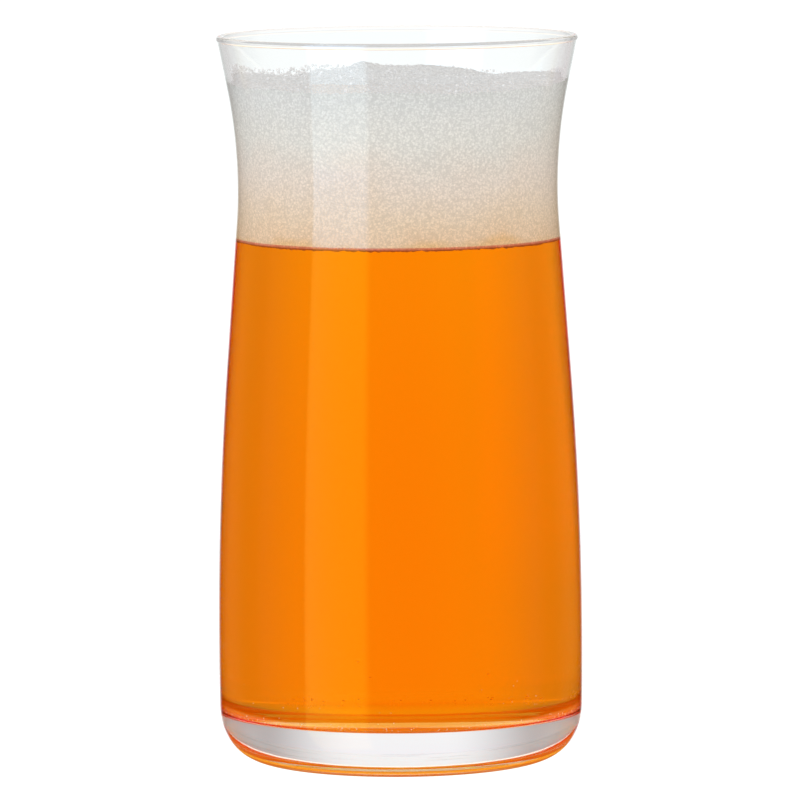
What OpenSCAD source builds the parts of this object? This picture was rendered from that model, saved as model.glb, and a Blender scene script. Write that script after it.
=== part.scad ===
// Tall drinking glass with a drawn-in waist under a flared rim, filled with beer
// and a head of foam. It stands on the ring under its base, at z = 0, and its axis
// is the Z axis. Lengths are in millimetres.

/* [Outside] */
// Height from the table to the top of the rim
glass_h = 140; // [120:1:170]
// Diameter over the rim
rim_d = 69.5; // [66:0.5:80]
// Diameter at the waist, the narrowest place
waist_d = 61.6; // [56:0.2:65]
// How far the waist lies below the rim
waist_drop = 29.5; // [24:0.5:40]
// Diameter at the belly, the widest place
belly_d = 70.2; // [67:0.2:78]
// Height of the belly above the table
belly_h = 23; // [16:0.5:36]
// Length of the straight stretch between belly and waist
side_straight = 28.5; // [10:0.5:40]
// Length of the straight stretch under the rim
rim_straight = 9; // [2:0.5:16]
// Radius of the hollow bend just below the waist
waist_bend = 84; // [40:1:110]

/* [Base] */
// Outer diameter of the ring that touches the table
foot_d = 49.6; // [44:0.2:58]
// Width of that ring
foot_w = 2; // [1:0.1:4]
// Depth of the hollow inside the ring
hollow_h = 1.6; // [0.4:0.1:3]
// Height of the rounded heel
heel_h = 11.6; // [8:0.2:15]
// Fullness of the heel: 2 is an ellipse, more is squarer
heel_fullness = 2.15; // [1.8:0.05:3]
// Height of the inside floor above the table
floor_h = 9.3; // [6:0.1:14]
// Radius of the bend from the inside floor into the wall
floor_bend = 4; // [1:0.1:6]

/* [Wall] */
// Thickness of the wall at the floor
wall_low = 1.8; // [1.2:0.05:3]
// Thickness of the wall from the waist up
wall_top = 1.1; // [0.8:0.05:1.6]
// How much thicker than the wall the melted bead round the rim is
bead_more = 0.3; // [0:0.05:0.8]

/* [Drink] */
// How far the foam's edge lies below the rim
foam_drop = 9.3; // [7:0.1:20]
// Depth of the foam
foam_t = 29.5; // [4:0.5:60]
// Rise of the foam's middle above its edge
foam_rise = 0.7; // [0:0.1:2]
// Height of the foam's largest lump
lump_h = 2.1; // [0:0.1:3]
// Radius of the foam's largest lump
lump_r = 11; // [5:0.5:14]

/* [Hidden] */

round_steps = 144;       // steps once round the axis
heel_steps = 14;
bend_steps = 10;
bead_steps = 7;          // steps from the foot of the bead to its top
ring_h = 3;              // height of one band of the wall
foam_lip = 1;            // height of the foam's uneven edge
crown_rings = 12;        // rings of the foam's top, from its middle to its edge
foam_sectors = 72;

foot_r = foot_d / 2;
waist_r = waist_d / 2;
waist_z = glass_h - waist_drop;
belly_r = belly_d / 2;
bead_r = (wall_top + bead_more) / 2;
bead_z = glass_h - bead_r;
edge_r = (rim_d - bead_more) / 2;    // outer face of the wall beside the bead
beer_z = glass_h - foam_drop - foam_t;
foam_z = glass_h - foam_drop;

// An upright line that bends along an arc and then runs straight ends up "out"
// sideways and "up" above its start. These give the angle of its straight end and
// the arc's radius, both negative where the line comes in.
function lean(out, up, straight) = 2 * atan(out / (up + straight));
function bend_radius(out, up, straight) =
    let (a = lean(out, up, straight)) (up - straight * cos(a)) / sin(a);

// How far an arc that starts upright has moved sideways at height z
function arc_out(radius, z) =
    z * z / (radius + sign(radius) * sqrt(radius * radius - z * z));

// From the belly to the waist: an arc, a straight stretch and the hollow bend
side_out = belly_r - waist_r;
side_lean = lean(side_out, waist_z - belly_h, side_straight);
side_bends = bend_radius(side_out, waist_z - belly_h, side_straight);
belly_bend = side_bends - sign(side_out) * waist_bend;
side_top_z = waist_z - waist_bend * sin(abs(side_lean));
side_low_z = side_top_z - side_straight * cos(side_lean);
side_low_r = belly_r - arc_out(belly_bend, side_low_z - belly_h);

// From the waist to the rim: the flare's arc and a straight stretch
rim_lean = lean(edge_r - waist_r, bead_z - waist_z, rim_straight);
flare_bend = bend_radius(edge_r - waist_r, bead_z - waist_z, rim_straight);
flare_top_z = bead_z - rim_straight * cos(rim_lean);

// Outer radius of the wall at height z, above the heel
function outer_r(z) =
    z < side_low_z ? belly_r - arc_out(belly_bend, z - belly_h) :
    z < side_top_z ? side_low_r - (z - side_low_z) * tan(side_lean) :
    z < waist_z ? waist_r + arc_out(sign(side_out) * waist_bend, z - waist_z) :
    z < flare_top_z ? waist_r + arc_out(flare_bend, z - waist_z) :
    edge_r - (bead_z - z) * tan(rim_lean);

function wall(z) =
    wall_top + (wall_low - wall_top) * max(0, waist_z - z) / (waist_z - floor_h);

function inner_r(z) = outer_r(z) - wall(z);

// Heights from low to high in equal bands, both ends included
function bands(low, high, size) =
    let (n = max(1, ceil((high - low) / size))) [for (i = [0:n]) low + (high - low) * i / n];

// The bead is a circle on the middle of the wall, leaning with it
bead_mid_r = edge_r - wall_top / 2;
bead_start = -acos(wall_top / 2 * cos(rim_lean) / bead_r);
bead_foot_z = bead_z + bead_r * sin(bead_start);
function bead_point(a) =
    [bead_mid_r + bead_r * cos(a - rim_lean), bead_z + bead_r * sin(a - rim_lean)];
bead_top = 90 + rim_lean;
bead_end = 180 - bead_start;
function bead_outline() = concat(
    [for (i = [0:bead_steps]) bead_point(bead_start + (bead_top - bead_start) * i / bead_steps)],
    [for (i = [1:bead_steps]) bead_point(bead_top + (bead_end - bead_top) * i / bead_steps)]);

function heel_outline() =
    let (wide = outer_r(heel_h) - foot_r, power = 2 / heel_fullness)
    [for (i = [0:heel_steps - 1]) let (a = 90 * i / heel_steps)
        [foot_r + wide * pow(sin(a), power), heel_h * (1 - pow(cos(a), power))]];

// Hollow under the base, an arc from the axis out to the ring
hollow_r = foot_r - foot_w;
hollow_bend = (hollow_r * hollow_r + hollow_h * hollow_h) / (2 * hollow_h);
function hollow_outline() =
    [for (i = [0:bend_steps]) let (r = hollow_r * i / bend_steps)
        [r, hollow_h - arc_out(hollow_bend, r)]];

// Bend between the floor and the wall inside
wall_z = floor_h + floor_bend;
function floor_outline() =
    [for (i = [0:bend_steps]) let (a = 90 * i / bend_steps)
        [inner_r(wall_z) - floor_bend * (1 - sin(a)), wall_z - floor_bend * cos(a)]];

// Heights at which the inside wall has a point, shared by the glass and what it holds
beer_heights = bands(wall_z, beer_z, ring_h);
foam_heights = bands(beer_z, foam_z - foam_lip, ring_h);
open_heights = bands(foam_z - foam_lip, bead_foot_z, ring_h);
function rest(list) = [for (i = [1:len(list) - 1]) list[i]];
function inside(heights) = [for (z = heights) [inner_r(z), z]];
function turned(list) = [for (i = [len(list) - 1:-1:0]) list[i]];

// The foam's top is a low dome with lumps. Each lump is its X and Y, and its height
// and radius as shares of the largest one's.
lumps = [[-7, 21, 1, 0.33], [1, 21, 0.91, 0.69], [11, 18.5, 0.64, 0.54],
         [-14.5, 23, 0.53, 0.34], [-30, 2, 0.76, 1], [28, 0, 0.86, 1],
         [-12, -4, 0.27, 0.55], [-20, -15, 0.22, 0.55], [0, -17, 0.16, 0.64],
         [13, -7, 0.33, 0.45], [21, -16, 0.16, 0.55]];
edge_waves = 7;
edge_wave = 0.15;
function lump_at(x, y, lump) =
    let (away = norm([x - lump[0], y - lump[1]]) / (lump_r * lump[3]))
    lump_h * lump[2] * exp(-away * away);
function sum(list, i = 0) = i < len(list) ? list[i] + sum(list, i + 1) : 0;
function crown(r, a) =
    let (x = r * cos(a), y = r * sin(a), share = r / inner_r(foam_z))
    foam_z + foam_rise * (1 - share * share) + edge_wave * share * sin(edge_waves * a)
    + sum([for (lump = lumps) lump_at(x, y, lump)]);

// Rings of points round the axis, lowest first, as one closed skin
module skin_of_rings(low, rings, high) {
    n = len(rings[0]);
    m = len(rings);
    points = concat([low], [for (ring = rings) each ring], [high]);
    faces = concat(
        [for (j = [0:n - 1]) [0, 1 + j, 1 + (j + 1) % n]],
        [for (i = [0:m - 2], j = [0:n - 1])
            let (a = 1 + i * n, b = a + n, k = (j + 1) % n)
            each [[a + j, b + j, b + k], [a + j, b + k, a + k]]],
        [for (j = [0:n - 1]) let (a = 1 + (m - 1) * n) [len(points) - 1, a + (j + 1) % n, a + j]]);
    polyhedron(points, faces);
}

module glass() {
    color([0.86, 0.92, 0.94, 0.45])
        rotate_extrude($fn = round_steps)
            polygon(concat(
                hollow_outline(),
                heel_outline(),
                [for (z = bands(heel_h, bead_foot_z, ring_h)) [outer_r(z), z]],
                bead_outline(),
                turned(inside(concat(beer_heights, rest(foam_heights), rest(open_heights)))),
                turned(floor_outline()),
                [[0, floor_h]]));
}

module beer() {
    color([0.98, 0.51, 0.02])
        rotate_extrude($fn = round_steps)
            polygon(concat(
                [[0, floor_h]],
                floor_outline(),
                rest(inside(beer_heights)),
                [[0, beer_z]]));
}

module foam() {
    angles = [for (j = [0:foam_sectors - 1]) 360 * j / foam_sectors];
    sides = [for (z = foam_heights) [for (a = angles) [inner_r(z) * cos(a), inner_r(z) * sin(a), z]]];
    edge = [for (a = angles) let (z = crown(inner_r(foam_z), a))
        [inner_r(z) * cos(a), inner_r(z) * sin(a), z]];
    top = [for (i = [crown_rings - 1:-1:1]) let (r = inner_r(foam_z) * i / crown_rings)
        [for (a = angles) [r * cos(a), r * sin(a), crown(r, a)]]];
    color([0.96, 0.94, 0.89])
        skin_of_rings([0, 0, beer_z], concat(sides, [edge], top), [0, 0, crown(0, 0)]);
}

glass();
beer();
foam();
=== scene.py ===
import math
import random

import bpy
from mathutils import Matrix, Vector, noise


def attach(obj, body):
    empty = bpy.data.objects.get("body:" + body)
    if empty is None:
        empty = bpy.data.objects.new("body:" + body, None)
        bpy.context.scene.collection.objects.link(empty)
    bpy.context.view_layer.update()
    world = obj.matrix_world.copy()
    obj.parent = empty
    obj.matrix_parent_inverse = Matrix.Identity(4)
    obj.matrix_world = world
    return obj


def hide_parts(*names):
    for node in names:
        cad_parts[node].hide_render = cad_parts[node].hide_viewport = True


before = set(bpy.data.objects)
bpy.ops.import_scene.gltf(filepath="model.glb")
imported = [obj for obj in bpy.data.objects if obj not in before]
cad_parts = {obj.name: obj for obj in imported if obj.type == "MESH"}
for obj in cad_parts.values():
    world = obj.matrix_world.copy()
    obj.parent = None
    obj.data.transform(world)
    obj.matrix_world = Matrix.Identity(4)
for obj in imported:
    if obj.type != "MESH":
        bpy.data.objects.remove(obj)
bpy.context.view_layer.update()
mm = 0.001

# Camera: a long lens a little above the glass, turned until the sides stand as in the picture
camera = {
    "place": (0.0, -1.5672, 0.22097),
    "aim": (0.00016, 0.0, 0.06957),
    "lens": 367.9,
    "sensor": 36.0,
    "roll": 0.3667,                    # degrees
    "nearest": 0.05, "furthest": 60.0,
}


def makeCamera():
    data = bpy.data.cameras.new("camera")
    data.lens = camera["lens"]
    data.sensor_width = camera["sensor"]
    data.clip_start, data.clip_end = camera["nearest"], camera["furthest"]
    cam = bpy.data.objects.new("camera", data)
    bpy.context.scene.collection.objects.link(cam)
    look = Vector(camera["aim"]) - Vector(camera["place"])
    turn = look.to_track_quat("-Z", "Y").to_matrix().to_4x4()
    roll = Matrix.Rotation(math.radians(-camera["roll"]), 4, "Z")
    cam.matrix_world = Matrix.Translation(camera["place"]) @ turn @ roll
    bpy.context.scene.camera = cam


makeCamera()
print("camera placed")

# Helpers for objects and shaders


def addObject(name, points, faces, materials, slots=None, smooth=True, sharpFrom=None):
    mesh = bpy.data.meshes.new(name)
    mesh.from_pydata(points, [], faces)
    for mat in materials:
        mesh.materials.append(mat)
    if slots:
        mesh.polygons.foreach_set("material_index", slots)
    mesh.polygons.foreach_set("use_smooth", [smooth] * len(faces))
    mesh.update()
    if sharpFrom:
        mesh.set_sharp_from_angle(angle=math.radians(sharpFrom))
    piece = bpy.data.objects.new(name, mesh)
    bpy.context.scene.collection.objects.link(piece)
    return piece


def newMaterial(name, values):
    # values are the shader's own sockets; a colour is given without its alpha
    mat = bpy.data.materials.new(name)
    mat.use_nodes = True
    nodes, links = mat.node_tree.nodes, mat.node_tree.links
    shader = nodes["Principled BSDF"]
    for label, value in values.items():
        shader.inputs[label].default_value = (*value, 1) if isinstance(value, tuple) else value
    return mat, nodes, links, shader


def doMath(nodes, links, what, *values):
    node = nodes.new("ShaderNodeMath")
    node.operation = what
    for socket, value in zip(node.inputs, values):
        if isinstance(value, (int, float)):
            socket.default_value = value
        else:
            links.new(value, socket)
    return node.outputs[0]


def ramp(nodes, links, value, span, ends=(0, 1), smooth=True):
    # passes from the first end to the second while the value crosses the span
    node = nodes.new("ShaderNodeMapRange")
    node.interpolation_type = "SMOOTHSTEP" if smooth else "LINEAR"
    links.new(value, node.inputs["Value"])
    labels = ("From Min", "From Max", "To Min", "To Max")
    for label, number in zip(labels, (*span, *ends)):
        node.inputs[label].default_value = number
    return node.outputs["Result"]


def blendColors(nodes, links, share, first, second):
    node = nodes.new("ShaderNodeMix")
    node.data_type = "RGBA"
    node.clamp_factor = True
    factor, colorA, colorB = node.inputs[0], node.inputs[6], node.inputs[7]
    links.new(share, factor)
    for socket, value in ((colorA, first), (colorB, second)):
        if isinstance(value, tuple):
            socket.default_value = (*value, 1)
        else:
            links.new(value, socket)
    return node.outputs[2]


def scaleVector(nodes, links, vector, scale):
    node = nodes.new("ShaderNodeVectorMath")
    node.operation = "SCALE"
    if isinstance(vector, tuple):
        node.inputs[0].default_value = vector
    else:
        links.new(vector, node.inputs[0])
    links.new(scale, node.inputs["Scale"])
    return node.outputs[0]


def bumpFrom(nodes, links, shader, height, strength, deep, inward=False):
    bump = nodes.new("ShaderNodeBump")
    bump.invert = inward
    bump.inputs["Strength"].default_value = strength
    bump.inputs["Distance"].default_value = deep * mm
    links.new(height, bump.inputs["Height"])
    links.new(bump.outputs[0], shader.inputs["Normal"])


# Effects that more than one material uses, as node groups
effects = {
    "bubbleSpan": (0.25, 1.25),        # from the middles of the bubbles to the places between
    "bubbleTones": (1.15, 0.82),       # and how bright the surface is there: a painted highlight on the middles, painted shade between
    "rippleDetail": 1.0,
}


def newGroup(name, inputs, outputs):
    group = bpy.data.node_groups.new(name, "ShaderNodeTree")
    for label, value in inputs.items():
        socket = group.interface.new_socket(label, in_out="INPUT", socket_type="NodeSocketFloat")
        socket.default_value = value
    for label in outputs:
        group.interface.new_socket(label, in_out="OUTPUT", socket_type="NodeSocketFloat")
    start, end = group.nodes.new("NodeGroupInput"), group.nodes.new("NodeGroupOutput")
    return group, start, end


def makeBubbleGroup():
    # two sizes of bubble laid over each other; Fine and Coarse are bubbles per metre
    sizes = {"Fine": 3000.0, "Coarse": 1500.0}
    group, start, end = newGroup("fineBubbles", sizes, ("Height", "Shade"))
    nodes, links = group.nodes, group.links
    coords = nodes.new("ShaderNodeTexCoord")
    distances = []
    for label in sizes:
        cells = nodes.new("ShaderNodeTexVoronoi")
        links.new(coords.outputs["Object"], cells.inputs["Vector"])
        links.new(start.outputs[label], cells.inputs["Scale"])
        distances.append(cells.outputs["Distance"])
    both = doMath(nodes, links, "ADD", *distances)
    shade = ramp(nodes, links, both, effects["bubbleSpan"], effects["bubbleTones"], smooth=False)
    links.new(both, end.inputs["Height"])
    links.new(shade, end.inputs["Shade"])
    return group


def makeRippleGroup():
    # soft waves; Scale is waves per metre and Around their share of that round the axis
    group, start, end = newGroup("drawnRipple", {"Scale": 60.0, "Around": 0.4}, ("Height",))
    nodes, links = group.nodes, group.links
    coords = nodes.new("ShaderNodeTexCoord")
    stretch = nodes.new("ShaderNodeCombineXYZ")
    links.new(start.outputs["Around"], stretch.inputs["X"])
    links.new(start.outputs["Around"], stretch.inputs["Y"])
    stretch.inputs["Z"].default_value = 1.0
    scaled = nodes.new("ShaderNodeVectorMath")
    scaled.operation = "MULTIPLY"
    links.new(coords.outputs["Object"], scaled.inputs[0])
    links.new(stretch.outputs[0], scaled.inputs[1])
    waves = nodes.new("ShaderNodeTexNoise")
    waves.inputs["Detail"].default_value = effects["rippleDetail"]
    links.new(scaled.outputs[0], waves.inputs["Vector"])
    links.new(start.outputs["Scale"], waves.inputs["Scale"])
    links.new(waves.outputs["Fac"], end.inputs["Height"])
    return group


def useGroup(nodes, group, **values):
    node = nodes.new("ShaderNodeGroup")
    node.node_tree = group
    for label, value in values.items():
        node.inputs[label].default_value = value
    return node


fineBubbles = makeBubbleGroup()
drawnRipple = makeRippleGroup()

# Studio: a pale room with a bright wall behind the glass, a tall soft box in front on the
# left, and a pale floor. A pair of numbers is a range of degrees, round from straight behind
# or up from level, in which one light passes into the next.
studio = {
    "floorSize": 40.0,
    "floorColor": (0.97, 0.97, 0.97),
    "floorGlow": 0.2,
    "floorDrop": 0.02,                 # millimetres below the glass
    "roughness": 0.9,
    "patchWide": 36.0,                 # light that falls through the beer under the glass
    "patchSteps": 64,
    "patchColor": (0.55, 0.20, 0.05),
    "patchDrop": 0.01,
    "backdrop": (1.2, 1.2, 1.2),       # what the camera sees past the floor
    "room": (0.95, 0.93, 0.90),        # all round, beyond the wall
    "wallEnds": (70.0, 82.0), "wallTop": (60.0, 75.0),
    "behind": (1.03, 1.08, 1.08),      # the wall straight behind the glass
    "left": (0.77, 0.71, 0.72), "right": (0.83, 0.71, 0.72),
    "sides": (8.0, 42.0),
    "farLeft": (0.79, 0.80, 0.30), "farRight": (0.93, 0.80, 0.30),
    "farSides": (42.0, 60.0),
    "middle": (-1.0, 1.0),             # where left passes into right
    "above": (-4.0, 0.0),              # the wall above the table's edge
    "aboveMiddle": (0.91, 0.91, 0.91), "aboveEnds": (0.43, 0.43, 0.43),
    "aboveSides": (9.0, 38.0),
    "strip": (9.5, 12.0),              # a brighter strip higher up on it
    "stripColor": (1.3, 1.2, 1.05),
    "overhead": (21.0, 26.0),          # warm light that only the thick base gathers
    "overheadColor": (0.7, 0.30, 0.05),
    "table": (-13.5, -12.0),           # far behind, seen through the empty top of the glass
    "tableColor": (1.06, 1.05, 1.03),
    "boxLeft": (-161.5, -155.5), "boxRight": (-118.0, -116.0),    # edges of the soft box
    "boxFoot": (-50.0, -40.0), "boxTop": (50.0, 60.0),
    "boxLow": (2.1, 2.5, 2.7), "boxHigh": (1.4, 2.0, 2.8),
    "boxFade": (-12.0, -8.0),          # where its low colour passes into the high one
    "mirror": (0.06, 0.025, 0.0),      # what the outside of the glass mirrors beside the wall
    "mirrorSides": (6.0, 20.0),
    "bench": (-20.0, -9.0),            # further down
    "benchColor": (0.9, 0.88, 0.85),
    "glow": (-38.0, -34.0),            # the table beside it, where the beer throws its colour
    "glowColor": (0.8, 0.36, 0.04),
    "heel": (-15.0, -12.0),            # and the same just behind the heel
    "heelSides": (45.0, 65.0),
    "heelColor": (0.62, 0.28, 0.05),
    "fillLeft": (1.08, 1.12, 1.17),    # soft light all round on the foam and the floor
    "fillRight": (0.83, 0.80, 0.75),
    "clearBounces": 96,                # in the glass, whose corners need many
    "softBounces": 6, "openBounces": 24,
}


def makeWorld():
    world = bpy.data.worlds.new("tent")
    world.cycles.sampling_method = "NONE"
    world.use_nodes = True
    bpy.context.scene.world = world
    nodes, links = world.node_tree.nodes, world.node_tree.links
    path = nodes.new("ShaderNodeLightPath")
    coords = nodes.new("ShaderNodeTexCoord")
    split = nodes.new("ShaderNodeSeparateXYZ")
    links.new(coords.outputs["Generated"], split.inputs[0])
    x, y, z = split.outputs

    def times(first, second):
        return doMath(nodes, links, "MULTIPLY", first, second)

    def rises(value, name):
        return ramp(nodes, links, value, studio[name])

    def falls(value, name):
        return ramp(nodes, links, value, studio[name], (1, 0))

    def blend(share, first, second):
        return blendColors(nodes, links, share, first, second)

    degrees = 180 / math.pi
    turn = times(doMath(nodes, links, "ARCTAN2", x, y), degrees)
    height = times(doMath(nodes, links, "ARCSINE", z), degrees)
    away = doMath(nodes, links, "ABSOLUTE", turn)

    # the wall, from its middle to its ends, then what is above it and in front of it
    leftSide = tuple(-angle for angle in reversed(studio["sides"]))
    wall = blend(rises(turn, "sides"), studio["behind"], studio["right"])
    wall = blend(ramp(nodes, links, turn, leftSide, (1, 0)), wall, studio["left"])
    far = blend(rises(turn, "middle"), studio["farLeft"], studio["farRight"])
    wall = blend(rises(away, "farSides"), wall, far)
    above = blend(rises(away, "aboveSides"), studio["aboveMiddle"], studio["aboveEnds"])
    above = blend(rises(height, "strip"), above, studio["stripColor"])
    above = blend(rises(height, "overhead"), above, studio["overheadColor"])
    wall = blend(rises(height, "above"), wall, above)
    wall = blend(falls(height, "table"), wall, studio["tableColor"])
    onWall = times(falls(away, "wallEnds"), falls(height, "wallTop"))
    wall = blend(onWall, studio["room"], wall)

    # what the outside of the glass mirrors
    mirror = blend(falls(height, "bench"), studio["mirror"], studio["benchColor"])
    mirror = blend(falls(height, "glow"), mirror, studio["glowColor"])
    mirror = blend(rises(away, "mirrorSides"), wall, mirror)
    byHeel = times(falls(height, "heel"), falls(away, "heelSides"))
    mirror = blend(byHeel, mirror, studio["heelColor"])
    wall = blend(path.outputs["Is Reflection Ray"], wall, mirror)

    # the soft box, then what lights the foam and the floor, and what the camera sees
    inBox = times(rises(turn, "boxLeft"), falls(turn, "boxRight"))
    inBox = times(times(inBox, falls(height, "boxTop")), rises(height, "boxFoot"))
    box = blend(rises(height, "boxFade"), studio["boxLow"], studio["boxHigh"])
    room = blend(inBox, wall, box)
    across = ramp(nodes, links, x, (-1, 1), smooth=False)
    fill = blend(across, studio["fillLeft"], studio["fillRight"])
    room = blend(path.outputs["Is Diffuse Ray"], room, fill)
    room = blend(path.outputs["Is Camera Ray"], room, studio["backdrop"])
    links.new(room, nodes["Background"].inputs["Color"])


def makeFloor():
    half = studio["floorSize"] / 2
    mat = newMaterial("paleFloor", {
        "Base Color": studio["floorColor"],
        "Roughness": studio["roughness"],
        "Specular IOR Level": 0.0,
        "Emission Color": (1, 1, 1),
        "Emission Strength": studio["floorGlow"],
    })[0]
    corners = [(-half, -half, 0), (half, -half, 0), (half, half, 0), (-half, half, 0)]
    floor = addObject("floor", corners, [(0, 1, 2, 3)], [mat], smooth=False)
    floor.location.z = -studio["floorDrop"] * mm
    floor.visible_transmission = False
    floor.visible_glossy = False


def makePatch():
    steps, wide = studio["patchSteps"], studio["patchWide"] * mm
    mat = newMaterial("lightPatch", {
        "Base Color": studio["patchColor"],
        "Roughness": studio["roughness"],
        "Specular IOR Level": 0.0,
    })[0]
    turns = [2 * math.pi * k / steps for k in range(steps)]
    points = [(wide * math.cos(a), wide * math.sin(a), 0) for a in turns]
    patch = addObject("patch", points, [tuple(range(steps))], [mat], smooth=False)
    patch.location.z = -studio["patchDrop"] * mm
    patch.visible_camera = False
    patch.visible_glossy = False
    patch.visible_diffuse = False


def setLook():
    view = bpy.context.scene.view_settings
    view.view_transform = "Standard"
    view.look = "None"
    cycles = bpy.context.scene.cycles
    cycles.max_bounces = studio["clearBounces"]
    cycles.transmission_bounces = studio["clearBounces"]
    cycles.glossy_bounces = studio["clearBounces"]
    cycles.diffuse_bounces = studio["softBounces"]
    cycles.transparent_max_bounces = studio["openBounces"]


makeWorld()
makeFloor()
makePatch()
setLook()
print("studio lit")

# Glass: the outline's sizes are the CAD model's own, in millimetres, and only the heel is a
# little fuller
glass = {
    "height": 140.0, "rimWide": 69.5,
    "waistWide": 61.6, "waistDrop": 29.5,
    "bellyWide": 70.2, "bellyHeight": 23.0,
    "sideStraight": 28.5, "rimStraight": 9.0, "waistBend": 84.0,
    "footWide": 49.6, "footRing": 2.0, "hollow": 1.6,
    "heelHeight": 11.6, "heelFullness": 2.28,
    "floorHeight": 9.3, "floorBend": 4.0,
    "wallLow": 1.8, "wallTop": 1.1, "beadMore": 0.3,
    "turns": 192,                      # steps once round the axis
    "bands": 0.9,                      # height of one band of the wall
    "beadSteps": 14, "heelSteps": 36, "hollowSteps": 24, "bendSteps": 16,
    "sharpFrom": 30.0,                 # degrees between faces that don't shade as one
    "tint": (1.0, 1.0, 1.0),
    "ior": 1.50,
    "ripple": 0.02, "rippleDeep": 1.0,           # unevenness of its faces, and its depth
    "rippleScale": 90.0, "rippleAround": 0.35,
    "drySheen": (1.0, 1.0, 1.0),       # tint of what the glass mirrors where it is dry
    "wetSheen": (0.8, 0.3, 0.02),      # painted reflection: the beer's orange, where the drink wets it inside
    "floorSheen": (1.0, 1.0, 1.0),     # on its floor
    "overBeerSheen": (1.0, 0.55, 0.0),    # painted reflection: warm, outside over the beer
    "heelSheen": (0.9, 0.32, 0.02),    # painted reflection: the beer's colour, on the heel
    "filmUp": 1.6,                     # height of the wet film above the foam's edge
    "filmGap": 0.3,                    # no other ring of points is nearer to the film's edge
    "floorRise": 0.3,                  # how far up its bend the floor counts as floor
    "heelBelow": 1.0,                  # the heel ends this far below the floor
}

# Drink: where the beer and the foam meet the wall, from the CAD model too. Each reaches a
# little way into the wall, and the foam into the beer, so that no air lies between.
drink = {
    "foamDrop": 9.3, "foamDeep": 29.5, "foamRise": 0.7,
    "lumpHigh": 2.1, "lumpWide": 11.0,
    "beerSunk": 0.06, "foamSunk": 0.072, "foamDip": 0.02,
}

footR = glass["footWide"] / 2
waistR = glass["waistWide"] / 2
waistZ = glass["height"] - glass["waistDrop"]
bellyR = glass["bellyWide"] / 2
bellyZ = glass["bellyHeight"]
beadR = (glass["wallTop"] + glass["beadMore"]) / 2
beadZ = glass["height"] - beadR
edgeR = (glass["rimWide"] - glass["beadMore"]) / 2
floorWallZ = glass["floorHeight"] + glass["floorBend"]
foamZ = glass["height"] - drink["foamDrop"]
beerZ = foamZ - drink["foamDeep"]


# An upright line bends along an arc, then runs straight. It ends out to the side and up above
# its start.
def lean(out, up, straight):
    return 2 * math.atan(out / (up + straight))


def bendRadius(out, up, straight):
    a = lean(out, up, straight)
    return (up - straight * math.cos(a)) / math.sin(a)


def arcOut(radius, z):
    return z * z / (radius + math.copysign(math.sqrt(radius * radius - z * z), radius))


# From the belly to the waist, and from the waist to the rim
side = (bellyR - waistR, waistZ - bellyZ, glass["sideStraight"])
sideLean = lean(*side)
bellyBend = bendRadius(*side) - glass["waistBend"]
sideTopZ = waistZ - glass["waistBend"] * math.sin(sideLean)
sideLowZ = sideTopZ - glass["sideStraight"] * math.cos(sideLean)
sideLowR = bellyR - arcOut(bellyBend, sideLowZ - bellyZ)
flare = (edgeR - waistR, beadZ - waistZ, glass["rimStraight"])
rimLean = lean(*flare)
flareBend = bendRadius(*flare)
flareTopZ = beadZ - glass["rimStraight"] * math.cos(rimLean)


# Outer radius of the wall at height z, above the heel
def outerR(z):
    if z < sideLowZ:
        return bellyR - arcOut(bellyBend, z - bellyZ)
    if z < sideTopZ:
        return sideLowR - (z - sideLowZ) * math.tan(sideLean)
    if z < waistZ:
        return waistR + arcOut(glass["waistBend"], z - waistZ)
    if z < flareTopZ:
        return waistR + arcOut(flareBend, z - waistZ)
    return edgeR - (beadZ - z) * math.tan(rimLean)


# Its thickness there
def wallAt(z):
    share = max(0.0, waistZ - z) / (waistZ - glass["floorHeight"])
    return glass["wallTop"] + (glass["wallLow"] - glass["wallTop"]) * share


def innerR(z):
    return outerR(z) - wallAt(z)


# Heights from low to high in equal bands, both ends included
def bands(low, high, size):
    count = max(1, math.ceil((high - low) / size))
    return [low + (high - low) * i / count for i in range(count + 1)]


# The bead is a circle on the middle of the wall, leaning with it
beadMidR = edgeR - glass["wallTop"] / 2
beadStart = -math.acos(glass["wallTop"] / 2 * math.cos(rimLean) / beadR)
beadFootZ = beadZ + beadR * math.sin(beadStart)


def beadOutline():
    steps, top, end = glass["beadSteps"], math.pi / 2 + rimLean, math.pi - beadStart
    angles = [beadStart + (top - beadStart) * i / steps for i in range(steps + 1)]
    angles += [top + (end - top) * i / steps for i in range(1, steps + 1)]
    angles = [a - rimLean for a in angles]
    return [(beadMidR + beadR * math.cos(a), beadZ + beadR * math.sin(a)) for a in angles]


def heelOutline():
    steps, high = glass["heelSteps"], glass["heelHeight"]
    wide, power = outerR(high) - footR, 2 / glass["heelFullness"]
    angles = [math.pi / 2 * i / steps for i in range(steps)]
    return [(footR + wide * math.sin(a) ** power, high * (1 - math.cos(a) ** power))
            for a in angles]


def hollowOutline():
    steps, high = glass["hollowSteps"], glass["hollow"]
    reach = footR - glass["footRing"]
    bend = (reach * reach + high ** 2) / (2 * high)
    places = [reach * i / steps for i in range(steps + 1)]
    return [(r, high - arcOut(bend, r)) for r in places]


def floorOutline(out=0.0):
    steps, radius = glass["bendSteps"], glass["floorBend"]
    middle = innerR(floorWallZ) - radius
    angles = [math.pi / 2 * i / steps for i in range(steps + 1)]
    return [(middle + (radius + out) * math.sin(a), floorWallZ - (radius + out) * math.cos(a))
            for a in angles]


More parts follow.
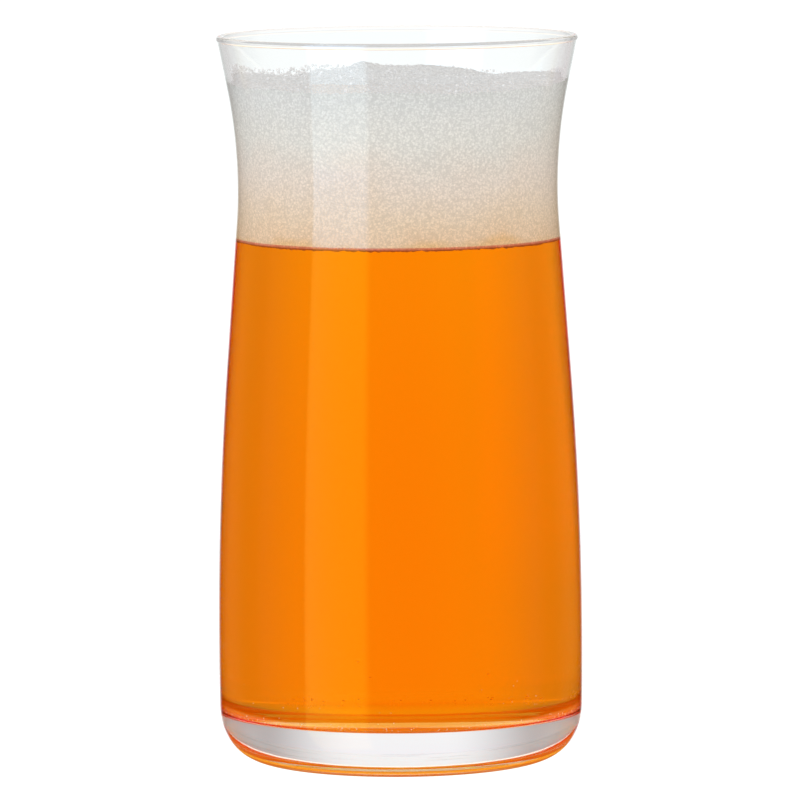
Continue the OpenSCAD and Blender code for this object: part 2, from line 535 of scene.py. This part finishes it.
def turnOnAxis(name, outline, materials, bandSlots):
    # outline runs from the axis, round the outside and back; bandSlots is a material a band
    turns = glass["turns"]
    circle = [2 * math.pi * k / turns for k in range(turns)]
    points, rings = [], []
    for r, z in outline:
        angles = circle if r else [0.0]
        rings.append(list(range(len(points), len(points) + len(angles))))
        points += [(r * math.cos(a) * mm, r * math.sin(a) * mm, z * mm) for a in angles]
    faces, slots = [], []
    for a, b, slot in zip(rings, rings[1:], bandSlots):
        for k in range(turns):
            n = (k + 1) % turns
            if len(a) == 1:
                faces.append((a[0], b[n], b[k]))
            elif len(b) == 1:
                faces.append((a[k], a[n], b[0]))
            else:
                faces.append((a[k], a[n], b[n], b[k]))
            slots.append(slot)
    return addObject(name, points, faces, materials, slots, sharpFrom=glass["sharpFrom"])


def clearMaterial(name, part, sheen):
    # part is the dictionary of the glass or of the beer
    mat, nodes, links, shader = newMaterial(name, {
        "Base Color": part["tint"],
        "Roughness": 0.0,
        "IOR": part["ior"],
        "Transmission Weight": 1.0,
        "Specular Tint": sheen,
    })
    waves = useGroup(nodes, drawnRipple, Scale=part["rippleScale"], Around=part["rippleAround"])
    height = waves.outputs["Height"]
    bumpFrom(nodes, links, shader, height, part["ripple"], part["rippleDeep"])
    return mat, nodes, links


def makeGlass():
    # glass materials that differ only in the painted tint of their reflections
    mirrorTints = (("clearGlass", "drySheen"), ("wetGlass", "wetSheen"),
                ("glassOverBeer", "overBeerSheen"), ("glassFloor", "floorSheen"),
                ("glassHeel", "heelSheen"))
    materials = [clearMaterial(name, glass, glass[sheen])[0] for name, sheen in mirrorTints]
    dry, wet, overBeer, floor, heel = range(len(mirrorTints))

    base = hollowOutline() + heelOutline()
    wall = [(outerR(z), z) for z in bands(glass["heelHeight"], beadFootZ, glass["bands"])]
    outside = base + wall + beadOutline()[1:]
    filmTop = foamZ + glass["filmUp"]
    heights = [round(z, 4) for z in bands(floorWallZ, beadFootZ, glass["bands"])
               if abs(z - filmTop) > glass["filmGap"]]
    heights = sorted(heights + [filmTop])
    inside = [(innerR(z), z) for z in reversed(heights[:-1])]
    inside += list(reversed(floorOutline()))[1:] + [(0.0, glass["floorHeight"])]
    outline = outside + inside

    def mirrorTintOf(i):
        start, top = outline[i][1], max(outline[i][1], outline[i + 1][1])
        if i >= len(outside) - 1:
            if top <= glass["floorHeight"] + glass["floorRise"]:
                return floor
            return wet if top <= filmTop else dry
        if i < len(base) and start < glass["floorHeight"] - glass["heelBelow"]:
            return heel
        return overBeer if start < beerZ else dry

    bandSlots = [mirrorTintOf(i) for i in range(len(outline) - 1)]
    piece = turnOnAxis("glass_shell", outline, materials, bandSlots)
    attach(piece, "root")
    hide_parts("glass")
    piece.visible_diffuse = False
    return piece


glassShell = makeGlass()
print("glass turned:", len(glassShell.data.polygons), "faces")

# Beer: clear amber, darker the deeper one looks into it
beer = {
    "tint": (1.0, 1.0, 1.0),
    "ior": 1.42,
    "absorb": (0.1, 25.0, 130.0),      # per metre, for red, green and blue
    "density": 136.5,                  # more than any of these
    "sheen": (0.0, 0.0, 0.0),
    "ripple": 0.02, "rippleDeep": 1.0,
    "rippleScale": 160.0, "rippleAround": 1.0,
}


def makeBeer():
    mat, nodes, links = clearMaterial("amberBeer", beer, beer["sheen"])
    absorb = nodes.new("ShaderNodeVolumeAbsorption")
    color = [1 - share / beer["density"] for share in beer["absorb"]]
    absorb.inputs["Color"].default_value = (*color, 1)
    absorb.inputs["Density"].default_value = beer["density"]
    links.new(absorb.outputs[0], nodes["Material Output"].inputs["Volume"])
    out, heights = drink["beerSunk"], bands(floorWallZ, beerZ, glass["bands"])
    outline = [(0.0, glass["floorHeight"] - out)] + floorOutline(out)
    outline += [(innerR(z) + out, z) for z in heights[1:]] + [(0.0, beerZ)]
    piece = turnOnAxis("beer_body", outline, [mat], [0] * (len(outline) - 1))
    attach(piece, "root")
    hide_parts("beer")
    piece.visible_diffuse = False
    return piece


beerBody = makeBeer()
print("beer poured:", len(beerBody.data.polygons), "faces")

# Foam: fine white bubbles, with the beer's glow painted on in cream and orange where they sit on
# the beer
foam = {
    "sectors": 480, "rings": 84,
    "bandHigh": 1.5,                   # height of one band of its side
    "lip": 1.0,                        # height of its uneven edge
    "edgeWaves": 7, "edgeWave": 0.15,
    "lumps": [                         # X, Y, and shares of the largest one's height and width
        (-7, 21, 1, 0.33), (1, 21, 0.91, 0.69), (11, 18.5, 0.64, 0.54),
        (-14.5, 23, 0.53, 0.34), (-30, 2, 0.76, 1), (28, 0, 0.86, 1),
        (-12, -4, 0.27, 0.55), (-20, -15, 0.22, 0.55), (0, -17, 0.16, 0.64),
        (13, -7, 0.33, 0.45), (21, -16, 0.16, 0.55),
    ],
    "grain": 0.30,                     # height of its bubbles
    "grainCells": [(0.9, 1.2, 0.45), (1.9, 1.5, 0.4)],    # cells a millimetre, weight, middle
    "grainWaves": (0.28, 0.8),         # broad waves a millimetre, and their weight
    "grainSlice": 3.7,
    "skirt": 0.65,                     # how far its edge hangs into the beer along the wall
    "skirtWaves": [(5, 0.2), (45, 0.4)],    # waves along it, and their height
    "skirtSlice": 0.4,
    "underEdge": 1.0,                  # width of the underside's outermost ring
    "sharpFrom": 50.0,
    "tones": [                         # share of its depth, from the beer up, and the colour; low down it is the beer's glow, painted
        (0.0, (0.84, 0.52, 0.26)), (0.06, (0.84, 0.60, 0.40)), (0.17, (0.84, 0.65, 0.473)),
        (0.45, (0.835, 0.72, 0.62)), (0.70, (0.785, 0.756, 0.70)),
        (0.95, (0.72, 0.72, 0.70)), (1.0, (0.70, 0.70, 0.68)),
    ],
    "wander": 10.0,                    # how far those tones stray up and down
    "wanderScale": 60.0, "wanderDetail": 3.0,
    "top": (0.84, 0.84, 0.835),        # painted light: a paler colour on its upper face, blended in as it turns upward
    "facing": (0.35, 0.85),
    "shadeLine": (0.56, 0.19, 0.02),        # painted shade: a dark line where the foam meets the beer, and where it fades upward
    "shadeLineHigh": (0.1, 0.5),
    "fineCells": 3400.0, "coarseCells": 1750.0,
    "roughness": 0.6, "gloss": 0.2,
    "bump": 0.3, "bumpDeep": 0.12,
    "under": (0.52, 1.60, 0.70),       # glow of its underside, seen only through the beer
    "underDark": 0.85,                 # share of it between the bubbles
    "underSpan": (0.2, 1.3),
    "underFine": 900.0, "underCoarse": 400.0,
    "underRoughness": 0.8, "underGlow": 1.0,
}


# Height of the foam's top: a low dome with an uneven edge and lumps
def crownAt(x, y):
    share = min(1.0, math.hypot(x, y) / innerR(foamZ))
    z = foamZ + drink["foamRise"] * (1 - share * share)
    z += foam["edgeWave"] * share * math.sin(foam["edgeWaves"] * math.atan2(y, x))
    for lumpX, lumpY, high, wide in foam["lumps"]:
        away = math.hypot(x - lumpX, y - lumpY) / (drink["lumpWide"] * wide)
        z += drink["lumpHigh"] * high * math.exp(-away * away)
    return z


# Height of the bubbles on it
def grainAt(x, y):
    p = Vector((x, y, foam["grainSlice"]))
    total = 0
    for scale, weight, middle in foam["grainCells"]:
        total += weight * (middle - noise.voronoi(p * scale)[0][0])
    scale, weight = foam["grainWaves"]
    return foam["grain"] * (total + weight * noise.noise(p * scale))


# How far its lower edge hangs down, at an angle round the axis
def skirtAt(a):
    p = Vector((math.cos(a), math.sin(a), foam["skirtSlice"]))
    return foam["skirt"] * (1 + sum(high * noise.noise(p * waves)
                                    for waves, high in foam["skirtWaves"]))


def foamMaterial():
    mat, nodes, links, shader = newMaterial("beerFoam", {
        "Roughness": foam["roughness"],
        "Specular IOR Level": foam["gloss"],
    })
    coords = nodes.new("ShaderNodeTexCoord")
    split = nodes.new("ShaderNodeSeparateXYZ")
    links.new(coords.outputs["Object"], split.inputs[0])
    height = split.outputs["Z"]

    # tones from the beer up, with the beer's glow painted low down, which wander a little
    wander = nodes.new("ShaderNodeTexNoise")
    wander.inputs["Scale"].default_value = foam["wanderScale"]
    wander.inputs["Detail"].default_value = foam["wanderDetail"]
    links.new(coords.outputs["Object"], wander.inputs["Vector"])
    reach = foam["wander"] * mm
    offset = doMath(nodes, links, "MULTIPLY_ADD", wander.outputs["Fac"], reach, -reach / 2)
    strayed = doMath(nodes, links, "ADD", height, offset)
    share = ramp(nodes, links, strayed, (beerZ * mm, foamZ * mm), smooth=False)
    tones = nodes.new("ShaderNodeValToRGB")
    links.new(share, tones.inputs["Fac"])
    stops, first, last = tones.color_ramp.elements, foam["tones"][0], foam["tones"][-1]
    for stop, (at, color) in zip(stops, (first, last)):
        stop.position, stop.color = at, (*color, 1)
    for at, color in foam["tones"][1:-1]:
        stops.new(at).color = (*color, 1)

    # the painted light on its upper face, then the painted shade line along the beer, then the
    # bubbles over all
    facing = nodes.new("ShaderNodeSeparateXYZ")
    links.new(coords.outputs["Normal"], facing.inputs[0])
    upward = ramp(nodes, links, facing.outputs["Z"], foam["facing"])
    color = blendColors(nodes, links, upward, tones.outputs["Color"], foam["top"])
    shadeLineSpan = [(beerZ - foam["skirt"] + z) * mm for z in foam["shadeLineHigh"]]
    aboveShadeLine = ramp(nodes, links, height, shadeLineSpan)
    color = blendColors(nodes, links, aboveShadeLine, foam["shadeLine"], color)
    cells = useGroup(nodes, fineBubbles, Fine=foam["fineCells"], Coarse=foam["coarseCells"])
    color = scaleVector(nodes, links, color, cells.outputs["Shade"])
    links.new(color, shader.inputs["Base Color"])
    bumpFrom(nodes, links, shader, cells.outputs["Height"], foam["bump"], foam["bumpDeep"], True)
    return mat


def undersideMaterial():
    mat, nodes, links, shader = newMaterial("foamUnderside", {
        "Emission Strength": foam["underGlow"],
        "Roughness": foam["underRoughness"],
        "Specular IOR Level": 0.0,
    })
    cells = useGroup(nodes, fineBubbles, Fine=foam["underFine"], Coarse=foam["underCoarse"])
    shade = ramp(nodes, links, cells.outputs["Height"], foam["underSpan"])
    dark = tuple(c * foam["underDark"] for c in foam["under"])
    color = blendColors(nodes, links, shade, foam["under"], dark)
    links.new(color, shader.inputs["Base Color"])
    links.new(color, shader.inputs["Emission Color"])
    return mat


def makeFoam():
    out, sectors, rings = drink["foamSunk"], foam["sectors"], foam["rings"]
    angles = [2 * math.pi * k / sectors for k in range(sectors)]
    foot, edge = beerZ - drink["foamDip"], innerR(foamZ)
    points, loops = [(0.0, 0.0, foot * mm)], []

    def addRing(places):
        loops.append(list(range(len(points), len(points) + sectors)))
        points.extend((x * mm, y * mm, z * mm) for x, y, z in places)

    def addRound(r, zAt):
        addRing([(r * math.cos(a), r * math.sin(a), zAt(a)) for a in angles])

    # the underside and the side, whose lowest ring is the skirt
    addRound(innerR(beerZ) - foam["underEdge"], lambda a: foot)
    heights = bands(foot, foamZ - foam["lip"], foam["bandHigh"])
    addRound(innerR(foot) + out, lambda a: foot - skirtAt(a))
    for z in heights[1:]:
        addRound(innerR(z) + out, lambda a: z)

    # the top, from its edge on the wall to its middle
    for i in range(rings, 0, -1):
        places = []
        for a in angles:
            r = edge * i / rings
            x, y = r * math.cos(a), r * math.sin(a)
            z = crownAt(x, y) + grainAt(x, y)
            if i == rings:
                r = innerR(z) + out
                x, y = r * math.cos(a), r * math.sin(a)
            places.append((x, y, z))
        addRing(places)
    points.append((0.0, 0.0, (crownAt(0, 0) + grainAt(0, 0)) * mm))

    faces, slots = [], []
    for k in range(sectors):
        n = (k + 1) % sectors
        faces.append((0, loops[0][n], loops[0][k]))
        faces += [(a[k], a[n], b[n], b[k]) for a, b in zip(loops, loops[1:])]
        faces.append((loops[-1][k], loops[-1][n], len(points) - 1))
        slots += [1] + [0] * len(loops)    # the underside is the second material
    materials = [foamMaterial(), undersideMaterial()]
    piece = addObject("foam_head", points, faces, materials, slots, sharpFrom=foam["sharpFrom"])
    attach(piece, "root")
    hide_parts("foam")
    return piece


foamHead = makeFoam()
print("foam raised:", len(foamHead.data.polygons), "faces")

# Bubbles: larger ones on top of the foam and on the wall round it, tiny ones in the beer
bubbles = {
    "seed": 7,
    "fineCells": 4000.0, "coarseCells": 2500.0,
    "small": 0.10, "large": 0.36,
    "color": (0.95, 0.95, 0.95), "glow": 0.08,
    "roughness": 0.25,
    "onTop": 420,                      # scattered over the foam
    "topRarity": 3,                    # the higher, the fewer are large
    "topInset": 0.8,                   # how far they stay from the wall
    "topRise": 0.15,                   # and how far they stand up, as a share of their radius
    "onWall": 1150,                    # in a band on the wall above the foam's edge
    "wallRarity": 2,
    "thick": (108.0, 176.0, 1.8),      # from and to in degrees, and its height, where it is
    "thin": (-10.0, 190.0, 0.9),       # thick and where it is thin
    "highRarity": 1.5,
    "wallTouch": 0.95,                 # distance from the wall, as a share of their radius
    "beadSmall": 0.05, "beadLarge": 0.13,
    # the tiny bubbles' cream colour is a painted highlight for the glints they give along the
    # floor's bend
    "beadColor": (0.95, 0.80, 0.62),
    "beadRoughness": 0.3,
    "beadGap": 0.02,                   # between the tiny ones and the glass
    "ringCount": 260,                  # along the bend of the glass's floor
    "ringRarity": 2,
    "ringTilt": (34.0, 10.0),          # how far up the bend, and its spread, in degrees
    "specks": 40,                      # and on the wall just above it
    "specksUp": 5.0,
    "specksRarity": 2,                 # the higher, the fewer are high up
}


def ball(split):
    # a small round ball: corner points of an icosahedron, split once for the larger ones
    g = (1 + math.sqrt(5)) / 2         # golden ratio
    points = [Vector(p).normalized() for p in (
        (-1, g, 0), (1, g, 0), (-1, -g, 0), (1, -g, 0), (0, -1, g), (0, 1, g),
        (0, -1, -g), (0, 1, -g), (g, 0, -1), (g, 0, 1), (-g, 0, -1), (-g, 0, 1))]
    faces = [(0, 11, 5), (0, 5, 1), (0, 1, 7), (0, 7, 10), (0, 10, 11), (1, 5, 9), (5, 11, 4),
             (11, 10, 2), (10, 7, 6), (7, 1, 8), (3, 9, 4), (3, 4, 2), (3, 2, 6), (3, 6, 8),
             (3, 8, 9), (4, 9, 5), (2, 4, 11), (6, 2, 10), (8, 6, 7), (9, 8, 1)]
    if not split:
        return points, faces
    halves, quarters = {}, []

    def half(a, b):
        key = (min(a, b), max(a, b))
        if key not in halves:
            halves[key] = len(points)
            points.append(((points[a] + points[b]) / 2).normalized())
        return halves[key]

    for a, b, c in faces:
        ab, bc, ca = half(a, b), half(b, c), half(c, a)
        quarters += [(a, ab, ca), (b, bc, ab), (c, ca, bc), (ab, bc, ca)]
    return points, quarters


def bubbleMaterial(name, color, roughness):
    mat, nodes, links, shader = newMaterial(name, {
        "Roughness": roughness,
        "Emission Color": color,
        "Emission Strength": bubbles["glow"],
    })
    fine, coarse = bubbles["fineCells"], bubbles["coarseCells"]
    cells = useGroup(nodes, fineBubbles, Fine=fine, Coarse=coarse)
    shaded = scaleVector(nodes, links, color, cells.outputs["Shade"])
    links.new(shaded, shader.inputs["Base Color"])
    return mat


def makeBalls(name, places, mat, split=True):
    shape, sides = ball(split)
    points, faces = [], []
    for x, y, z, r in places:
        start = len(points)
        points += [((x + r * p.x) * mm, (y + r * p.y) * mm, (z + r * p.z) * mm) for p in shape]
        faces += [(start + a, start + b, start + c) for a, b, c in sides]
    piece = addObject(name, points, faces, [mat])
    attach(piece, "root")
    return piece


def drawSize(draw, small, large, rarity=1):
    return small + (large - small) * draw.random() ** rarity


def makeFroth():
    draw = random.Random(bubbles["seed"])
    small, large, edge = bubbles["small"], bubbles["large"], innerR(foamZ)
    places = []
    for i in range(bubbles["onTop"]):
        r = drawSize(draw, small, large, bubbles["topRarity"])
        away = (edge - bubbles["topInset"]) * math.sqrt(draw.random())
        a = 2 * math.pi * draw.random()
        x, y = away * math.cos(a), away * math.sin(a)
        places.append((x, y, crownAt(x, y) + grainAt(x, y) + bubbles["topRise"] * r, r))
    for i in range(bubbles["onWall"]):
        r = drawSize(draw, small, large, bubbles["wallRarity"])
        start, end, high = bubbles["thin" if i % 2 else "thick"]
        a = math.radians(draw.uniform(start, end))
        up = high * draw.random() ** bubbles["highRarity"]
        z = crownAt(edge * math.cos(a), edge * math.sin(a)) + up
        away = innerR(z) - r * bubbles["wallTouch"]
        places.append((away * math.cos(a), away * math.sin(a), z, r))
    mat = bubbleMaterial("frothBubbles", bubbles["color"], bubbles["roughness"])
    return makeBalls("foam_froth", places, mat)


def makeBeads():
    draw = random.Random(bubbles["seed"] + 1)
    small, large, gap = bubbles["beadSmall"], bubbles["beadLarge"], bubbles["beadGap"]
    middle = innerR(floorWallZ) - glass["floorBend"]
    places = []
    for i in range(bubbles["ringCount"]):
        r = drawSize(draw, small, large, bubbles["ringRarity"])
        a, bend = 2 * math.pi * draw.random(), math.radians(draw.gauss(*bubbles["ringTilt"]))
        reach = glass["floorBend"] - r - gap
        away, z = middle + reach * math.sin(bend), floorWallZ - reach * math.cos(bend)
        places.append((away * math.cos(a), away * math.sin(a), z, r))
    for i in range(bubbles["specks"]):
        r, a = drawSize(draw, small, large), 2 * math.pi * draw.random()
        z = floorWallZ + bubbles["specksUp"] * draw.random() ** bubbles["specksRarity"]
        away = innerR(z) - r - gap
        places.append((away * math.cos(a), away * math.sin(a), z, r))
    mat = bubbleMaterial("beerBeads", bubbles["beadColor"], bubbles["beadRoughness"])
    return makeBalls("beer_beads", places, mat, split=False)


froth = makeFroth()
beads = makeBeads()
print("bubbles set:", len(froth.data.polygons) + len(beads.data.polygons), "faces")

bpy.context.view_layer.update()
